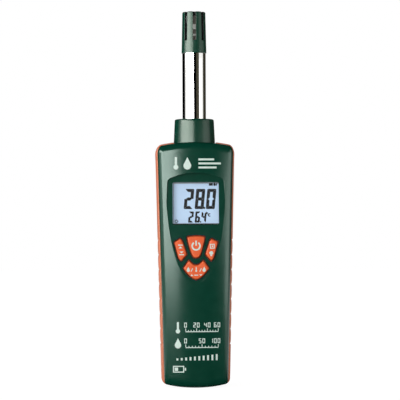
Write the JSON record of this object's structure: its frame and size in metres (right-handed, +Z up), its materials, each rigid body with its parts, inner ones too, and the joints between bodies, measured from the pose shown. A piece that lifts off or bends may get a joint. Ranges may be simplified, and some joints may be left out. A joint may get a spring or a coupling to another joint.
{
  "type": "psychrometer",
  "caption": "Hand-held digital psychrometer: tapered green case with orange grips, display and keypad, steel probe tube and slotted guard over its humidity and temperature sensors.",
  "frame": {"origin": "middle of the foot, on the surface that the meter stands on when upright", "axes": "+Z up along the probe, the face with the display looks towards -Y, +X to the right of the face"},
  "size_m": [0.0468, 0.0343, 0.225],
  "materials": {
    "green_plastic": "fine-textured moulding, satin",
    "orange_grip": "soft-touch, satin",
    "orange_key": "silicone with a satin coat",
    "polished_steel": "polished",
    "screw_steel": "zinc plated",
    "crystal_can": "drawn can",
    "clear_window": "clear, polished",
    "display_glass": "pale blue, satin",
    "carbon": "matte",
    "dark_rubber": "matte",
    "foam": "open-pored",
    "pale_plastic": "satin",
    "circuit_board": "solder-masked",
    "gold_plating": "plated",
    "chip_black": "moulded",
    "capacitor_sleeve": "shrink sleeve",
    "battery_jacket": "printed sleeve",
    "white_ceramic": "glazed",
    "red_wire": "soft insulation",
    "black_wire": "soft insulation",
    "label_grey": "printed film, bare"
  },
  "bodies": {
    "meter": {"front_case": "green_plastic", "rear_case": "green_plastic", "probe_collar": "green_plastic", "sensor_guard": "green_plastic", "left_grip": "orange_grip", "right_grip": "orange_grip", "probe_tube": "polished_steel", "case_screws": "screw_steel", "board_screws": "screw_steel", "crystal": "crystal_can", "display_window": "clear_window", "display_glass": "display_glass", "upper_zebra_strip": "dark_rubber", "lower_zebra_strip": "dark_rubber", "keypad_mat": "dark_rubber", "window_gasket": "foam", "display_holder": "pale_plastic", "backlight_panel": "pale_plastic", "sensor_plug": "pale_plastic", "sensor_socket": "pale_plastic", "main_board": "circuit_board", "sensor_board": "circuit_board", "contact_pads": "gold_plating", "microcontroller": "chip_black", "amplifier_chip": "chip_black", "resistors": "chip_black", "battery_snap": "chip_black", "capacitors": "capacitor_sleeve", "battery": "battery_jacket", "humidity_element": "white_ceramic", "thermistor": "white_ceramic", "red_lead": "red_wire", "black_lead": "black_wire", "sensor_cable": "black_wire", "rear_label": "label_grey"},
    "power_key": {"power_key": "orange_key", "power_contact": "carbon"},
    "left_key": {"left_key": "orange_key", "left_contact": "carbon"},
    "right_key": {"right_key": "orange_key", "right_contact": "carbon"},
    "lower_key": {"lower_key": "orange_key", "lower_contact": "carbon"},
    "battery_door": {"battery_door": "green_plastic", "battery_pad": "foam"}
  },
  "joints": [
    {"name": "power_key_press", "type": "slide", "parent": "meter", "child": "power_key", "axis": [0, 1, 0], "range_m": [0, 0.0008], "stiffness_N_per_m": 1500},
    {"name": "left_key_press", "type": "slide", "parent": "meter", "child": "left_key", "axis": [0, 1, 0], "range_m": [0, 0.0008], "stiffness_N_per_m": 1500},
    {"name": "right_key_press", "type": "slide", "parent": "meter", "child": "right_key", "axis": [0, 1, 0], "range_m": [0, 0.0008], "stiffness_N_per_m": 1500},
    {"name": "lower_key_press", "type": "slide", "parent": "meter", "child": "lower_key", "axis": [0, 1, 0], "range_m": [0, 0.0008], "stiffness_N_per_m": 1500},
    {"name": "battery_door_slide", "type": "slide", "parent": "meter", "child": "battery_door", "axis": [0, 0, -1], "range_m": [0, 0.06]}
  ]
}
